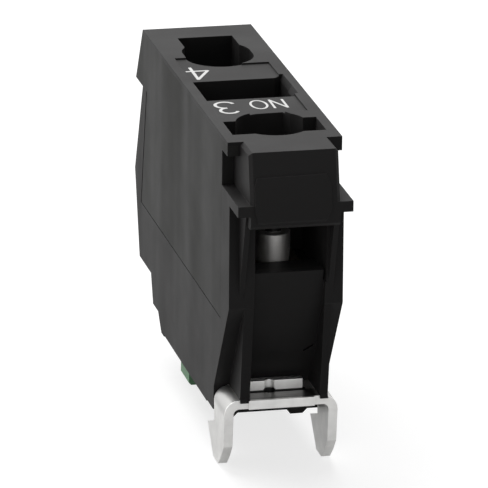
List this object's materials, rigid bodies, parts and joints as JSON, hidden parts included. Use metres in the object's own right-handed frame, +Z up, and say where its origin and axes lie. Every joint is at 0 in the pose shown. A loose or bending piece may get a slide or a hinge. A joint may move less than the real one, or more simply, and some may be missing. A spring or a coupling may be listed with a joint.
{
  "type": "contact block",
  "caption": "Narrow clip-on contact block: normally open contact, green spring-return plunger, screw terminals at both ends and a folded steel retaining clip.",
  "frame": {"origin": "on the underside that seats on the button's collar, half way between the terminal screws, on the middle plane of the width", "axes": "+X across the narrow width, +Y from the front wire entry to the rear one, +Z up towards the screws"},
  "size_m": [0.01, 0.0425, 0.0298],
  "materials": {
    "housing_plastic": "fine moulded grain",
    "cover_plastic": "fine moulded grain",
    "plunger_plastic": "satin",
    "screw_steel": "zinc plated",
    "clamp_steel": "zinc plated",
    "clip_steel": "nickel plated, satin",
    "spring_steel": "bright wire",
    "strip_brass": "rolled strip",
    "contact_silver": "silver alloy, satin"
  },
  "bodies": {
    "base": {"housing": "housing_plastic", "side_cover": "cover_plastic", "front_terminal": "strip_brass", "rear_terminal": "strip_brass", "front_fixed_tip": "contact_silver", "rear_fixed_tip": "contact_silver", "retaining_clip": "clip_steel", "return_spring": "spring_steel"},
    "pusher": {"plunger": "plunger_plastic", "contact_spring": "spring_steel"},
    "bridge": {"contact_bridge": "strip_brass", "bridge_tip_front": "contact_silver", "bridge_tip_rear": "contact_silver"},
    "front_clamp": {"front_clamp_plate": "clamp_steel", "front_lock_washer": "clamp_steel"},
    "rear_clamp": {"rear_clamp_plate": "clamp_steel", "rear_lock_washer": "clamp_steel"},
    "front_bolt": {"front_screw": "screw_steel"},
    "rear_bolt": {"rear_screw": "screw_steel"}
  },
  "joints": [
    {"name": "plunger_slide", "type": "slide", "parent": "base", "child": "pusher", "axis": [0, 0, 1], "range_m": [0, 0.0026], "stiffness_N_per_m": 250, "springref_m": -0.004, "deforming": ["return_spring"]},
    {"name": "bridge_float", "type": "slide", "parent": "pusher", "child": "bridge", "axis": [0, 0, 1], "range_m": [-0.00105, 0], "stiffness_N_per_m": 300, "springref_m": 0.003, "deforming": ["contact_spring"]},
    {"name": "front_clamp_slide", "type": "slide", "parent": "base", "child": "front_clamp", "axis": [0, 0, 1], "range_m": [-0.004, 0]},
    {"name": "front_screw_turn", "type": "hinge", "parent": "front_clamp", "child": "front_bolt", "pos_m": [0, -0.011, 0.0206], "axis": [0, 0, -1], "range_deg": [0, 2880]},
    {"name": "rear_clamp_slide", "type": "slide", "parent": "base", "child": "rear_clamp", "axis": [0, 0, 1], "range_m": [-0.004, 0]},
    {"name": "rear_screw_turn", "type": "hinge", "parent": "rear_clamp", "child": "rear_bolt", "pos_m": [0, 0.011, 0.0206], "axis": [0, 0, -1], "range_deg": [0, 2880]}
  ],
  "couplings": [
    {"joint": "bridge_float", "follows": "plunger_slide", "ratio": -0.4},
    {"joint": "front_screw_turn", "follows": "front_clamp_slide", "rad_per_m": -12566},
    {"joint": "rear_screw_turn", "follows": "rear_clamp_slide", "rad_per_m": -12566}
  ]
}
